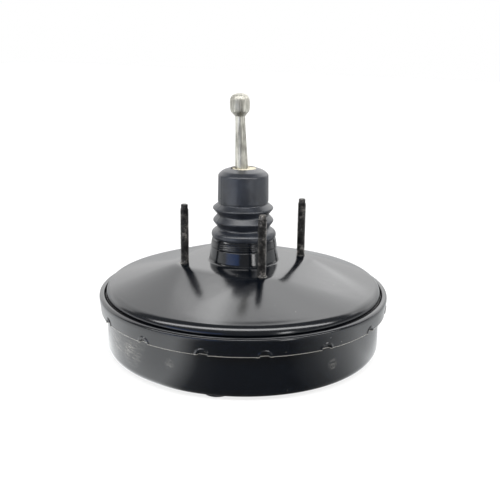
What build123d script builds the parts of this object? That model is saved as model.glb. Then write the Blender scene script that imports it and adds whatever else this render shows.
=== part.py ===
"""Vacuum brake booster, about ten inches across.

The origin is the centre of the flat plateau that meets the bulkhead, and +Z points along the
push rod towards the pedal. Everything round is about the Z axis. Sizes are millimetres.
"""

import os
from math import cos, radians, sin

from build123d import *

os.makedirs("parts", exist_ok=True)

# Clearances
running_gap = 0.05  # radial, a sliding piece in its guide
free_gap = 0.3  # between pieces that move past each other without touching
seat_gap = 0.1  # between pieces that are put together and stay together

# Rear shell: plateau, dome and rim
sheet = 1.6  # steel of both shells
plateau_half = 50.5  # centre to each flat side of the plateau
plateau_corner = 16.0  # radius of the plateau's corners
dome_r = 128.8
dome_drop = 21.6  # plateau down to the dome's outer edge
dome_swell = 0.4  # how far the middle of the dome stands above a straight slope
groove_depth = 8.0  # below the dome's outer edge
groove_w = 4.6
ring_w = 8.5  # edge of the dome to the outside of the ring
ring_drop = 26.5  # plateau down to the top of the clamping ring
ring_r = dome_r + ring_w
lip_r = ring_r - 1.3
lip_drop = 43.0  # plateau down to the skirt's lower lip
rim_bend = 1.2  # bend radius of the sheet's middle line round the rim
stake_count = 15
stake_r = 4.3
stake_depth = 1.5
stake_turn = -4.0  # degrees from +X to the first stake

# Neck, drawn up out of the plateau round the tail of the power piston
tail_r = 20.0
neck_space = 8.0  # tail to the outside of the neck, with the seal between
neck_top_r = tail_r + neck_space
neck_cone_r = neck_top_r + 2.3
neck_root_r = neck_cone_r + 1.5
neck_root_fillet = 2.4
neck_cone_h = 14.0
neck_top_start = 17.0
neck_h = 27.0
neck_lip_r = neck_top_r - 3.4  # bore of the turned-in lip at the top
ridge_count = 3  # snap ridges under the boot
ridge_pitch = 2.4
ridge_first = 8.4
ridge_h = 0.5

# Front shell
flange_gap = 0.4  # flange's edge to the inside of the skirt
flange_r = lip_r - sheet - flange_gap
drum_r = flange_r - 3.7
flange_drop = 36.4  # plateau down to the top of its clamped flange
base_drop = 83.0
drum_corner = 7.2
mc_face_drop = 61.0  # plateau down to the face that meets the master cylinder
mc_seat_r = 56.0
mc_recess_r = 67.0
recess_bend = 4.0
pilot_r = 19.0
pilot_top_drop = 50.0

# Studs and the plates that carry them
stud_r = 4.0
stud_x, stud_y = 82.0, 80.0
stud_length = 57.6
stud_collar_r, stud_collar_h = 6.2, 1.2
stud_shank_r = 4.4  # knurled part in the plates
stud_point_r, stud_point_h = 3.2, 3.6
stud_head_r, stud_head_h = 7.0, 2.8
stud_bevel = 0.8  # on heads and collars
point_bevel = 0.6
stud_plate_half, stud_plate_corner = 47.0, 15.0
plate_t = 2.5
plate_bevel = 0.9
mc_stud_pitch = 84.0
mc_stud_length = 20.5
mc_plate_r = 50.0
mc_plate_t = 3.0

# Power piston
stroke = 24.0
tail_bore_r = tail_r - 3.4
tail_top = 80.0
hub_r = 38.0
hub_top, hub_bottom = -8.0, -12.0
boss_r = 30.0
lug_r, lug_t = 33.0, 3.0
lug_count, lug_angle = 3, 80.0
front_boss_r = 26.0
front_boss_end = -24.0
chamber_floor = 6.0
vacuum_seat_r, vacuum_seat_top = tail_bore_r - 3.0, 13.9
chamber_r = vacuum_seat_r - 2.1
trough_floor = 11.0
plunger_r = 8.0
disc_recess_r = 14.4
disc_top = -10.5
passage_count, passage_r = 4, 1.7
passage_ring_r = tail_bore_r + 0.4

# Diaphragm and its plate
diaphragm_t = 1.8
plate_sheet = 1.2
plate_flat_r = 44.0
plate_slope_drop = 8.0
plate_rim_h = 14.0
plate_bend = 4.0
fold_bottom = -46.0
fold_bevel = 5.0
fold_outer_r = drum_r - 9.3
fold_w = 17.0  # across the rolling fold, from the plate's rim
plate_outer_r = fold_outer_r - fold_w
bead_w = 4.0

# Air valve, poppet and push rod
key_t, key_w, key_reach = 3.0, 15.2, 26.0
key_top = -3.5
input_travel = 2.0
plunger_groove_r = 5.0
plunger_nose_r = 5.5
plunger_land = 1.8
plunger_flange_r, plunger_flange_t = chamber_r - 0.7, 5.0
valve_gap = 0.3
pivot_z = 11.0
pivot_r = 5.0
rod_lean = 2.6  # degrees that the rod leans towards -X as it stands
rod_neck_r, rod_neck_end = 3.2, 15.0
rod_shank_r, rod_shank_start, rod_shank_end = 6.0, 20.0, 80.0
rod_thin_r, rod_thin_end = 4.1, 127.4
ball_r, ball_h = 8.9, 19.2
ball_under, ball_over = 5.6, 6.0  # heights of the rounded parts under and over its waist
ball_flat_r = 3.2
rod_collar_r, rod_collar_s, rod_collar_t = 8.0, 46.0, 2.0
poppet_r, poppet_bore_r = tail_bore_r - 1.8, 8.6
poppet_face_t = 2.6
poppet_wall = 1.6
poppet_clamp = 36.0
poppet_clamp_t = 5.0
retainer_t = 3.0
cup_r, cup_t = tail_bore_r - 3.2, 1.4
retainer_bore_r = 9.0
small_bevel = 0.6  # on small turned and moulded pieces

# Springs
wire_sides = 6
return_wire, return_coil_r, return_turns = 3.6, 30.0, 3.5
rod_wire, rod_coil_r, rod_turns = 1.6, cup_r - 2.0, 3.0
poppet_wire, poppet_coil_r, poppet_turns = 1.0, 11.6, 3.0

# Filter in the end of the tail
silencer_start, silencer_t, silencer_bore_r = 60.5, 8.0, 9.4
filter_start = 69.0
filter_boss_r, filter_top = 11.4, 89.2
filter_crown = 0.9

# Reaction disc and output rod
disc_t = 5.0
output_head_t = 4.0
output_r = 5.0
output_end_drop = 57.0
output_retainer_t = 1.2
screw_r, screw_hex_r, screw_hex_h, screw_tip = 2.5, 4.2, 3.0, 63.5
screw_depth = 10.0
screw_tip_round = 2.2

# Seals in the neck and round the output rod
bush_bottom, bush_top = 5.2, 14.0
lock_ring_t, lock_ring_bore_r = 1.6, tail_r + 2.0
seal_bottom, seal_top = 17.2, 25.0
seal_wall = 2.0
front_seal_depth = 5.0
front_seal_flange = 1.4

# Dust boot
cap_r, cap_foot_r = tail_r + 3.2, tail_r + 3.6
cap_top, cap_foot = 83.6, 58.6
mouth_r, mouth_top = 12.0, 89.6
shoulder_r, shoulder_top = tail_r - 0.7, 87.0
mouth_wall = 2.0
fold_r, valley_r = neck_top_r + 0.5, neck_top_r - 3.1
fold_top, fold_pitch, fold_count = 52.3, 12.0, 2
fold_wall = 2.0
waist_r, waist_top = tail_r + 2.8, 57.2
collar_r, collar_top, collar_bottom = neck_top_r + 2.0, 30.0, 18.4
collar_shoulder_r = neck_top_r - 1.2
collar_shoulder = 31.8
boot_round = 1.5

# Vacuum port
port_ring_r, port_angle = drum_r - 20.7, -72.0
port_hole_r, port_bore_r = 9.5, 6.5
port_flange_r, port_flange_h = 13.0, 3.2
port_inner_r, port_inner_h = 12.0, 4.0

half_sheet = sheet / 2
swell_share = 0.5  # how far out the dome's middle section lies between plateau and edge


def neck_inside(height):
    """Radius of the inside of the neck's cone at a height above the plateau."""
    share = height / neck_cone_h
    return neck_root_r + (neck_cone_r - neck_root_r) * share - sheet


def dome_half(share, inset):
    """Half-width of the dome's outline, part of the way from the plateau to its edge."""
    return plateau_half + (dome_r - plateau_half) * share - inset


def dome_corner(share, inset):
    """Corner radius of the same outline."""
    return plateau_corner + (dome_r - plateau_corner) * share - inset


# Rear shell: domed face, rim, neck and stakes
rim_inner_r = dome_r - half_sheet
groove_z = -(dome_drop + groove_depth) - half_sheet
ring_z = -ring_drop - half_sheet
rim_line = [
    (rim_inner_r, -dome_drop - sheet),
    (rim_inner_r + rim_bend / 2, groove_z),
    (rim_inner_r + groove_w, groove_z),
    (rim_inner_r + groove_w + rim_bend / 2, ring_z),
    (ring_r - half_sheet - rim_bend, ring_z),
    (ring_r - half_sheet, ring_z - rim_bend),
    (lip_r - half_sheet, -lip_drop),
]

with BuildPart() as rear_shell:
    for drop, inset, way in ((0, 0, Mode.ADD), (sheet, sheet, Mode.SUBTRACT)):
        with BuildSketch(Plane.XY.offset(-drop)):
            side = 2 * dome_half(0, inset / 2)
            RectangleRounded(side, side, dome_corner(0, inset / 2))
        with BuildSketch(Plane.XY.offset(-drop - dome_drop * swell_share + dome_swell)):
            side = 2 * dome_half(swell_share, inset / 2)
            RectangleRounded(side, side, dome_corner(swell_share, inset / 2))
        with BuildSketch(Plane.XY.offset(-drop - dome_drop)):
            Circle(dome_r - inset)
        loft(mode=way)
        if way == Mode.ADD:
            with BuildSketch(Plane.XY.offset(-dome_drop)):
                Circle(dome_r)
            extrude(amount=-sheet)
    with BuildSketch(Plane.XZ):
        with BuildLine():
            FilletPolyline(*rim_line, radius=rim_bend)
        trace(line_width=sheet)
    revolve(axis=Axis.Z)
    # Neck, with its snap ridges under the boot
    ridge_line = []
    for ridge in range(ridge_count):
        ridge_z = ridge_first + ridge * ridge_pitch
        ridge_base = neck_inside(ridge_z) + sheet
        ridge_line += [
            (ridge_base, ridge_z - ridge_pitch / 3),
            (ridge_base + ridge_h, ridge_z),
            (ridge_base, ridge_z + ridge_pitch / 3),
        ]
    with BuildSketch(Plane.XZ):
        with BuildLine():
            Polyline(
                (neck_root_r, -sheet),
                (neck_root_r, 0),
                *ridge_line,
                (neck_cone_r, neck_cone_h),
                (neck_top_r, neck_top_start),
                (neck_top_r, neck_h),
                (0, neck_h),
                (0, -sheet),
                close=True,
            )
        make_face()
    revolve(axis=Axis.Z)
    circles = rear_shell.edges().filter_by(GeomType.CIRCLE)
    circles_at_plateau = circles.filter_by_position(Axis.Z, -seat_gap, seat_gap)
    fillet(circles_at_plateau.sort_by(lambda e: abs(e.radius - neck_root_r))[0], radius=neck_root_fillet)
    with BuildSketch(Plane.XZ):
        with BuildLine():
            Polyline(
                (0, -2 * sheet),
                (neck_root_r - sheet, -2 * sheet),
                (neck_inside(0), 0),
                (neck_inside(neck_cone_h), neck_cone_h),
                (neck_top_r - sheet, neck_top_start),
                (neck_top_r - sheet, neck_h - sheet),
                (neck_lip_r, neck_h - sheet),
                (neck_lip_r, neck_h + sheet),
                (0, neck_h + sheet),
                close=True,
            )
        make_face()
    revolve(axis=Axis.Z, mode=Mode.SUBTRACT)
    # Holes for the studs
    with BuildSketch(Plane.XY.offset(-2 * sheet)):
        with GridLocations(stud_x, stud_y, 2, 2):
            Circle(stud_collar_r + seat_gap)
    extrude(amount=3 * sheet, mode=Mode.SUBTRACT)
    # Stakes: half-moons at the skirt's lip, pushed in under the drum's flange
    for stake in range(stake_count):
        turn = stake_turn + stake * 360 / stake_count
        stake_plane = Plane(
            origin=(cos(radians(turn)) * lip_r, sin(radians(turn)) * lip_r, -lip_drop),
            x_dir=(-sin(radians(turn)), cos(radians(turn)), 0),
            z_dir=(cos(radians(turn)), sin(radians(turn)), 0),
        )
        with BuildSketch(stake_plane.offset(-sheet - stake_depth)):
            Circle(stake_r + sheet / 4)
            with Locations((0, -stake_r)):
                Rectangle(4 * stake_r, 2 * stake_r, mode=Mode.SUBTRACT)
        extrude(amount=sheet + stake_depth / 2)
        with BuildSketch(stake_plane.offset(-stake_depth)):
            Circle(stake_r)
        extrude(amount=2 * stake_depth + sheet, mode=Mode.SUBTRACT)
rear_shell.part.label = "rear_shell"
export_step(rear_shell.part, "parts/rear_shell.step")

# Front shell: clamped flange, drum, base ring and the recess for the master cylinder
drum_line = [
    (flange_r, -flange_drop - half_sheet),
    (drum_r - half_sheet, -flange_drop - half_sheet),
    (drum_r - half_sheet, -base_drop + half_sheet),
    (mc_recess_r, -base_drop + half_sheet),
    (mc_seat_r, -mc_face_drop + half_sheet),
    (pilot_r + half_sheet, -mc_face_drop + half_sheet),
    (pilot_r + half_sheet, -pilot_top_drop),
]
drum_bends = [rim_bend, drum_corner - half_sheet, recess_bend, recess_bend, rim_bend]
port_centre = (port_ring_r * cos(radians(port_angle)), port_ring_r * sin(radians(port_angle)))

with BuildPart() as front_shell:
    with BuildSketch(Plane.XZ):
        with BuildLine():
            FilletPolyline(*drum_line, radius=drum_bends)
        trace(line_width=sheet)
    revolve(axis=Axis.Z)
    with BuildSketch(Plane.XY.offset(-mc_face_drop - sheet)):
        with GridLocations(mc_stud_pitch, 0, 2, 1):
            Circle(stud_shank_r + seat_gap)
    extrude(amount=3 * sheet, mode=Mode.SUBTRACT)
    with BuildSketch(Plane.XY.offset(-base_drop - sheet)):
        with Locations(port_centre):
            Circle(port_hole_r)
    extrude(amount=3 * sheet, mode=Mode.SUBTRACT)
front_shell.part.label = "front_shell"
export_step(front_shell.part, "parts/front_shell.step")

# Bulkhead studs, pressed through the plateau and its reinforcement plate
stud_head_top = -sheet - plate_t - seat_gap
with BuildPart() as bulkhead_stud:
    with BuildSketch(Plane.XZ):
        with BuildLine():
            Polyline(
                (0, stud_head_top - stud_head_h),
                (stud_head_r - stud_bevel, stud_head_top - stud_head_h),
                (stud_head_r, stud_head_top - stud_head_h + stud_bevel),
                (stud_head_r, stud_head_top),
                (stud_shank_r, stud_head_top),
                (stud_shank_r, -sheet),
                (stud_collar_r, -sheet),
                (stud_collar_r, stud_collar_h - stud_bevel),
                (stud_collar_r - stud_bevel, stud_collar_h),
                (stud_r, stud_collar_h),
                (stud_r, stud_length - stud_point_h - (stud_r - stud_point_r)),
                (stud_point_r, stud_length - stud_point_h),
                (stud_point_r, stud_length - point_bevel),
                (stud_point_r - point_bevel, stud_length),
                (0, stud_length),
                close=True,
            )
        make_face()
    revolve(axis=Axis.Z)

with BuildPart() as bulkhead_studs:
    with GridLocations(stud_x, stud_y, 2, 2):
        add(bulkhead_stud.part)
bulkhead_studs.part.label = "bulkhead_studs"
export_step(bulkhead_studs.part, "parts/bulkhead_studs.step")

with BuildPart() as stud_plate:
    with BuildSketch(Plane.XY.offset(-sheet - seat_gap / 2)):
        RectangleRounded(2 * stud_plate_half, 2 * stud_plate_half, stud_plate_corner)
        Circle(neck_root_r + plate_t, mode=Mode.SUBTRACT)
        with GridLocations(stud_x, stud_y, 2, 2):
            Circle(stud_shank_r + seat_gap, mode=Mode.SUBTRACT)
    extrude(amount=-plate_t)
    chamfer(stud_plate.faces().sort_by(Axis.Z)[0].outer_wire().edges(), length=plate_bevel)
stud_plate.part.label = "stud_plate"
export_step(stud_plate.part, "parts/stud_plate.step")

# Reinforcement plate inside the recess, with the two master cylinder studs
mc_plate_bottom = -mc_face_drop + sheet + seat_gap / 2
mc_plate_top = mc_plate_bottom + mc_plate_t
with BuildPart() as mc_plate:
    with BuildSketch(Plane.XY.offset(mc_plate_bottom)):
        Circle(mc_plate_r)
        Circle(pilot_r + sheet + rim_bend + seat_gap, mode=Mode.SUBTRACT)
        with GridLocations(mc_stud_pitch, 0, 2, 1):
            Circle(stud_shank_r + seat_gap, mode=Mode.SUBTRACT)
    extrude(amount=mc_plate_t)
    chamfer(mc_plate.faces().sort_by(Axis.Z)[-1].outer_wire().edges(), length=plate_bevel)
mc_plate.part.label = "mc_plate"
export_step(mc_plate.part, "parts/mc_plate.step")

mc_head_bottom = mc_plate_top + seat_gap
mc_stud_tip = -mc_face_drop - mc_stud_length
with BuildPart() as mc_stud:
    with BuildSketch(Plane.XZ):
        with BuildLine():
            Polyline(
                (0, mc_head_bottom + stud_head_h),
                (stud_head_r - stud_bevel, mc_head_bottom + stud_head_h),
                (stud_head_r, mc_head_bottom + stud_head_h - stud_bevel),
                (stud_head_r, mc_head_bottom),
                (stud_shank_r, mc_head_bottom),
                (stud_shank_r, -mc_face_drop),
                (stud_r, -mc_face_drop),
                (stud_r, mc_stud_tip + stud_r - stud_point_r),
                (stud_point_r, mc_stud_tip),
                (0, mc_stud_tip),
                close=True,
            )
        make_face()
    revolve(axis=Axis.Z)

with BuildPart() as mc_studs:
    with GridLocations(mc_stud_pitch, 0, 2, 1):
        add(mc_stud.part)
mc_studs.part.label = "mc_studs"
export_step(mc_studs.part, "parts/mc_studs.step")

# Power piston: long tail, hub with bayonet lugs for the diaphragm plate, valve chamber
diaphragm_bottom = hub_bottom - free_gap - diaphragm_t
lug_top = diaphragm_bottom - free_gap - plate_sheet - seat_gap
lug_bottom = lug_top - lug_t
with BuildPart() as valve_body:
    with BuildSketch(Plane.XZ):
        with BuildLine():
            Polyline(
                (plunger_r, disc_top),
                (plunger_r, chamber_floor),
                (chamber_r, chamber_floor),
                (chamber_r, vacuum_seat_top),
                (vacuum_seat_r, vacuum_seat_top),
                (vacuum_seat_r, trough_floor),
                (tail_bore_r, trough_floor),
                (tail_bore_r, tail_top),
                (tail_r, tail_top),
                (tail_r, hub_top),
                (hub_r, hub_top),
                (hub_r, hub_bottom),
                (boss_r, hub_bottom),
                (boss_r, lug_bottom),
                (front_boss_r, lug_bottom),
                (front_boss_r, front_boss_end),
                (disc_recess_r, front_boss_end),
                (disc_recess_r, disc_top),
                close=True,
            )
        make_face()
    revolve(axis=Axis.Z)
    # Bayonet lugs under the diaphragm plate
    with BuildSketch(Plane.XY.offset(lug_bottom)):
        with PolarLocations(0, lug_count):
            with BuildLine():
                first_arc = CenterArc((0, 0), lug_r, -lug_angle / 2, lug_angle)
                second_arc = CenterArc((0, 0), boss_r - plate_sheet, -lug_angle / 2, lug_angle)
                Line(first_arc @ 0, second_arc @ 0)
                Line(first_arc @ 1, second_arc @ 1)
            make_face()
    extrude(amount=lug_t)
    # Passages that join the front chamber to the vacuum valve
    with BuildSketch(Plane.XY.offset(front_boss_end - seat_gap)):
        with PolarLocations(passage_ring_r, passage_count, start_angle=180 / passage_count):
            Circle(passage_r)
    extrude(amount=trough_floor - front_boss_end + 2 * seat_gap, mode=Mode.SUBTRACT)
    # Slot for the stop key, open to one side
    with BuildSketch(Plane.XY.offset(key_top - key_t - seat_gap)):
        with Locations((key_reach / 2, 0)):
            Rectangle(key_reach, key_w + 2 * seat_gap)
    extrude(amount=key_t + 2 * seat_gap, mode=Mode.SUBTRACT)
    chamfer(valve_body.edges().filter_by(GeomType.CIRCLE).group_by(Axis.Z)[-1], length=small_bevel)
valve_body.part.label = "valve_body"
export_step(valve_body.part, "parts/valve_body.step")

# Diaphragm plate: flat round the hub, sloped like the dome, with a turned-down rim
plate_top = diaphragm_bottom - free_gap
plate_mid = plate_top - plate_sheet / 2
plate_line = [
    (boss_r + seat_gap, plate_mid),
    (plate_flat_r, plate_mid),
    (plate_outer_r - plate_sheet / 2, plate_mid - plate_slope_drop),
    (plate_outer_r - plate_sheet / 2, plate_mid - plate_slope_drop - plate_rim_h),
]
with BuildPart() as diaphragm_plate:
    with BuildSketch(Plane.XZ):
        with BuildLine():
            FilletPolyline(*plate_line, radius=plate_bend)
        trace(line_width=plate_sheet)
    revolve(axis=Axis.Z)
diaphragm_plate.part.label = "diaphragm_plate"
export_step(diaphragm_plate.part, "parts/diaphragm_plate.step")

# Rolling diaphragm: lies on the plate, folds round its rim, ends in a bead held in the rim
diaphragm_mid = diaphragm_bottom + diaphragm_t / 2
fold_inner_r = plate_outer_r + free_gap + diaphragm_t / 2
bead_top = groove_z - half_sheet - seat_gap
bead_bottom = -flange_drop + seat_gap
bead_outer_r = flange_r
bead_inner_r = bead_outer_r - bead_w
wall_z = groove_z - half_sheet - free_gap - diaphragm_t / 2
diaphragm_line = [
    (boss_r + free_gap, diaphragm_mid),
    (plate_flat_r, diaphragm_mid),
    (fold_inner_r, diaphragm_mid - plate_slope_drop),
    (fold_inner_r, fold_bottom + fold_bevel),
    (fold_inner_r + fold_bevel, fold_bottom),
    (fold_outer_r - fold_bevel, fold_bottom),
    (fold_outer_r, fold_bottom + fold_bevel),
    (fold_outer_r, wall_z),
    (bead_inner_r + bead_w / 2, wall_z),
]
with BuildPart() as diaphragm:
    with BuildSketch(Plane.XZ):
        with BuildLine():
            Polyline(*diaphragm_line)
        trace(line_width=diaphragm_t)
        with Locations(((bead_inner_r + bead_outer_r) / 2, (bead_top + bead_bottom) / 2)):
            Rectangle(bead_w, bead_top - bead_bottom)
    revolve(axis=Axis.Z)
diaphragm.part.label = "diaphragm"
export_step(diaphragm.part, "parts/diaphragm.step")

# Air valve plunger, with the groove that the stop key rides in and the socket for the rod
key_bottom = key_top - key_t
groove_low = key_bottom - seat_gap
groove_high = key_top + input_travel + seat_gap
land_bottom = groove_low - plunger_land
nose_bottom = disc_top + valve_gap
flange_top = vacuum_seat_top + 2 * valve_gap
plunger_body_r = plunger_r - running_gap
socket_r = pivot_r + free_gap
with BuildPart() as valve_plunger:
    with BuildSketch(Plane.XZ):
        with BuildLine():
            Polyline(
                (0, nose_bottom),
                (plunger_nose_r, nose_bottom),
                (plunger_nose_r, land_bottom),
                (plunger_body_r, land_bottom),
                (plunger_body_r, groove_low),
                (plunger_groove_r, groove_low),
                (plunger_groove_r, groove_high),
                (plunger_body_r, groove_high),
                (plunger_body_r, flange_top - plunger_flange_t),
                (plunger_flange_r, flange_top - plunger_flange_t),
                (plunger_flange_r, flange_top - valve_gap),
                (plunger_flange_r - valve_gap, flange_top),
                (0, flange_top),
                close=True,
            )
        make_face()
    revolve(axis=Axis.Z)
    with Locations((0, 0, pivot_z)):
        Sphere(socket_r, mode=Mode.SUBTRACT)
valve_plunger.part.label = "valve_plunger"
export_step(valve_plunger.part, "parts/valve_plunger.step")

with BuildPart() as stop_key:
    with BuildSketch(Plane.XY.offset(key_bottom)):
        with Locations((key_reach / 2, 0)):
            Rectangle(key_reach, key_w)
        Circle(plunger_groove_r + free_gap, mode=Mode.SUBTRACT)
        Rectangle(key_w, 2 * (plunger_groove_r + free_gap), mode=Mode.SUBTRACT)
    extrude(amount=key_t)
    fillet(stop_key.edges().filter_by(Axis.Z).group_by(Axis.X)[-1], radius=key_t / 2)
stop_key.part.label = "stop_key"
export_step(stop_key.part, "parts/stop_key.step")

# Poppet valve: soft face over the two valve seats, thin wall, bead under its retainer
poppet_face = flange_top + valve_gap
poppet_bead_r = tail_bore_r - seat_gap
poppet_neck_r = poppet_bore_r + poppet_wall
retainer_bottom = poppet_clamp + poppet_clamp_t + seat_gap
with BuildPart() as poppet_valve:
    with BuildSketch(Plane.XZ):
        with BuildLine():
            Polyline(
                (poppet_bore_r, poppet_face),
                (poppet_r, poppet_face),
                (poppet_r, poppet_face + poppet_face_t),
                (poppet_neck_r, poppet_face + poppet_face_t),
                (poppet_neck_r, poppet_clamp),
                (poppet_bead_r, poppet_clamp),
                (poppet_bead_r, poppet_clamp + poppet_clamp_t),
                (poppet_bore_r, poppet_clamp + poppet_clamp_t),
                close=True,
            )
        make_face()
    revolve(axis=Axis.Z)
poppet_valve.part.label = "poppet_valve"
export_step(poppet_valve.part, "parts/poppet_valve.step")

with BuildPart() as poppet_retainer:
    with BuildSketch(Plane.XY.offset(retainer_bottom)):
        Circle(tail_bore_r - seat_gap)
        Circle(retainer_bore_r, mode=Mode.SUBTRACT)
    extrude(amount=retainer_t)
    chamfer(poppet_retainer.edges().filter_by(GeomType.CIRCLE).group_by(Axis.Z)[-1], length=small_bevel)
poppet_retainer.part.label = "poppet_retainer"
export_step(poppet_retainer.part, "parts/poppet_retainer.step")

# Push rod, on its own leaning axis: pivot ball, neck, shank, taper and ball head
rod_plane = Plane(
    origin=(0, 0, pivot_z),
    x_dir=(0, 1, 0),
    z_dir=(-sin(radians(rod_lean)), 0, cos(radians(rod_lean))),
)
rod_side = Plane(
    origin=rod_plane.origin,
    x_dir=rod_plane.x_dir,
    z_dir=rod_plane.x_dir.cross(rod_plane.z_dir),
)
head_top = rod_thin_end + ball_h
with BuildPart() as input_rod:
    with BuildSketch(rod_side):
        with BuildLine():
            Polyline(
                (0, 0),
                (rod_neck_r, 0),
                (rod_neck_r, rod_neck_end),
                (rod_shank_r, rod_shank_start),
                (rod_shank_r, rod_collar_s),
                (rod_collar_r, rod_collar_s),
                (rod_collar_r, rod_collar_s + rod_collar_t),
                (rod_shank_r, rod_collar_s + rod_collar_t),
                (rod_shank_r, rod_shank_end),
                (rod_thin_r, rod_thin_end + ball_under),
                (0, rod_thin_end + ball_under),
                close=True,
            )
        make_face()
    revolve(axis=Axis(rod_plane.origin, rod_plane.z_dir))
    with BuildSketch(rod_side):
        with BuildLine():
            under = Line((0, rod_thin_end), (rod_thin_r, rod_thin_end))
            waist = Line((ball_r, rod_thin_end + ball_under), (ball_r, head_top - ball_over))
            top = Line((ball_flat_r, head_top), (0, head_top))
            TangentArc(waist @ 0, under @ 1, tangent=(0, -1))
            TangentArc(waist @ 1, top @ 0, tangent=(0, 1))
            Line(top @ 1, under @ 0)
        make_face()
    revolve(axis=Axis(rod_plane.origin, rod_plane.z_dir))
    with Locations(rod_plane):
        Sphere(pivot_r)
input_rod.part.label = "input_rod"
export_step(input_rod.part, "parts/input_rod.step")

# Springs, with a six-sided wire that keeps their facets few
return_foot = mc_plate_top + return_wire / 2 + seat_gap
return_head = lug_bottom - return_wire / 2 - seat_gap
with BuildPart() as return_spring:
    with BuildLine(Plane.XY.offset(return_foot)):
        coil = Helix(pitch=(return_head - return_foot) / return_turns, height=return_head - return_foot, radius=return_coil_r)
    with BuildSketch(Plane(origin=coil @ 0, z_dir=coil % 0)):
        RegularPolygon(return_wire / 2, wire_sides)
    sweep(path=coil, is_frenet=True)
return_spring.part.label = "return_spring"
export_step(return_spring.part, "parts/return_spring.step")

rod_foot = retainer_bottom + retainer_t + rod_wire / 2 + seat_gap
cup_bottom = pivot_z + rod_collar_s - cup_t - seat_gap
rod_head = cup_bottom - rod_wire / 2 - free_gap
with BuildPart() as rod_spring:
    with BuildLine(Plane.XY.offset(rod_foot)):
        coil = Helix(pitch=(rod_head - rod_foot) / rod_turns, height=rod_head - rod_foot, radius=rod_coil_r)
    with BuildSketch(Plane(origin=coil @ 0, z_dir=coil % 0)):
        RegularPolygon(rod_wire / 2, wire_sides)
    sweep(path=coil, is_frenet=True)
rod_spring.part.label = "rod_spring"
export_step(rod_spring.part, "parts/rod_spring.step")

poppet_foot = poppet_face + poppet_face_t + poppet_wire / 2 + seat_gap
poppet_head = poppet_clamp - poppet_wire / 2 - seat_gap
with BuildPart() as poppet_spring:
    with BuildLine(Plane.XY.offset(poppet_foot)):
        coil = Helix(pitch=(poppet_head - poppet_foot) / poppet_turns, height=poppet_head - poppet_foot, radius=poppet_coil_r)
    with BuildSketch(Plane(origin=coil @ 0, z_dir=coil % 0)):
        RegularPolygon(poppet_wire / 2, wire_sides)
    sweep(path=coil, is_frenet=True)
poppet_spring.part.label = "poppet_spring"
export_step(poppet_spring.part, "parts/poppet_spring.step")

with BuildPart() as spring_cup:
    with BuildSketch(rod_plane.offset(rod_collar_s - seat_gap)):
        Circle(cup_r)
        Circle(rod_shank_r + seat_gap, mode=Mode.SUBTRACT)
    extrude(amount=-cup_t)
spring_cup.part.label = "spring_cup"
export_step(spring_cup.part, "parts/spring_cup.step")

# Foam silencer and felt filter, which closes the boot's mouth round the rod
with BuildPart() as silencer:
    with BuildSketch(Plane.XY.offset(silencer_start)):
        Circle(tail_bore_r - seat_gap)
        Circle(silencer_bore_r, mode=Mode.SUBTRACT)
    extrude(amount=silencer_t)
silencer.part.label = "silencer"
export_step(silencer.part, "parts/silencer.step")

with BuildPart() as air_filter:
    with BuildSketch(Plane.XY.offset(filter_start)):
        Circle(tail_bore_r - seat_gap)
    extrude(amount=tail_top - filter_start)
    with BuildSketch(Plane.XY.offset(tail_top)):
        Circle(filter_boss_r)
    extrude(amount=filter_top - tail_top)
    fillet(air_filter.edges().filter_by(GeomType.CIRCLE).group_by(Axis.Z)[-1], radius=filter_crown)
    with BuildSketch(rod_plane):
        Circle(rod_shank_r + free_gap)
    extrude(amount=head_top, mode=Mode.SUBTRACT)
air_filter.part.label = "air_filter"
export_step(air_filter.part, "parts/air_filter.step")

# Reaction disc, output rod with its retainer and its adjusting screw
with BuildPart() as reaction_disc:
    with BuildSketch(Plane.XY.offset(disc_top - seat_gap)):
        Circle(disc_recess_r - seat_gap)
    extrude(amount=-disc_t)
    chamfer(reaction_disc.edges().filter_by(GeomType.CIRCLE), length=small_bevel)
reaction_disc.part.label = "reaction_disc"
export_step(reaction_disc.part, "parts/reaction_disc.step")

output_top = disc_top - 2 * seat_gap - disc_t
output_head_bottom = output_top - output_head_t
with BuildPart() as output_rod:
    with BuildSketch(Plane.XZ):
        with BuildLine():
            Polyline(
                (0, output_top),
                (disc_recess_r - seat_gap, output_top),
                (disc_recess_r - seat_gap, output_head_bottom),
                (output_r, output_head_bottom),
                (output_r, -output_end_drop),
                (screw_r + seat_gap, -output_end_drop),
                (screw_r + seat_gap, -output_end_drop + screw_depth),
                (0, -output_end_drop + screw_depth),
                close=True,
            )
        make_face()
    revolve(axis=Axis.Z)
output_rod.part.label = "output_rod"
export_step(output_rod.part, "parts/output_rod.step")

with BuildPart() as output_retainer:
    with BuildSketch(Plane.XY.offset(output_head_bottom - seat_gap)):
        Circle(disc_recess_r - seat_gap)
        Circle(output_r + output_retainer_t, mode=Mode.SUBTRACT)
    extrude(amount=-output_retainer_t)
output_retainer.part.label = "output_retainer"
export_step(output_retainer.part, "parts/output_retainer.step")

with BuildPart() as adjusting_screw:
    with BuildSketch(Plane.XY.offset(-output_end_drop - seat_gap)):
        RegularPolygon(screw_hex_r, 6)
    extrude(amount=-screw_hex_h)
    with BuildSketch(Plane.XY.offset(-output_end_drop + screw_depth - seat_gap)):
        Circle(screw_r)
    extrude(amount=-screw_depth)
    with BuildSketch(Plane.XY.offset(-output_end_drop - screw_hex_h)):
        Circle(screw_r + seat_gap)
    extrude(amount=output_end_drop + screw_hex_h - screw_tip)
    fillet(adjusting_screw.edges().filter_by(GeomType.CIRCLE).group_by(Axis.Z)[0], radius=screw_tip_round)
adjusting_screw.part.label = "adjusting_screw"
export_step(adjusting_screw.part, "parts/adjusting_screw.step")

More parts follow.
